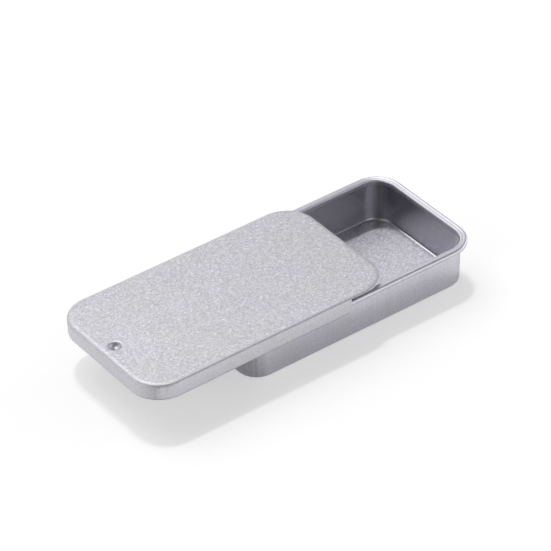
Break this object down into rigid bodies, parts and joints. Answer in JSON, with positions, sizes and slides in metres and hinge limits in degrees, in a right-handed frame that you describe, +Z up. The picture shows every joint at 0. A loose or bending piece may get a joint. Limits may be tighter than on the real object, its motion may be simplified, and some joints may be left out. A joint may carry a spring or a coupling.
{
  "type": "sliding lid tin",
  "caption": "Small flat tin box with rounded corners: a drawn tray with a curled rim, and a dimpled lid that slides along the rim to open and lifts clear.",
  "frame": {"origin": "middle of the tray's underside, where the tin rests", "axes": "+X along the slide towards the tray's end that the half open lid leaves bare, +Y across the tin, +Z up out of the tray"},
  "size_m": [0.083, 0.034, 0.0118],
  "materials": {
    "drawn_tinplate": "drawn tinplate, satin on the walls, with a fine frosted grain on the floor",
    "frosted_tinplate": "frosted tinplate with a fine sparkling grain"
  },
  "bodies": {
    "tray": {"tray": "drawn_tinplate"},
    "lid": {"sliding_lid": "frosted_tinplate"}
  },
  "joints": [
    {"name": "lid_slide", "type": "slide", "parent": "tray", "child": "lid", "axis": [-1, 0, 0], "range_m": [-0.0234, 0.0372]}
  ]
}
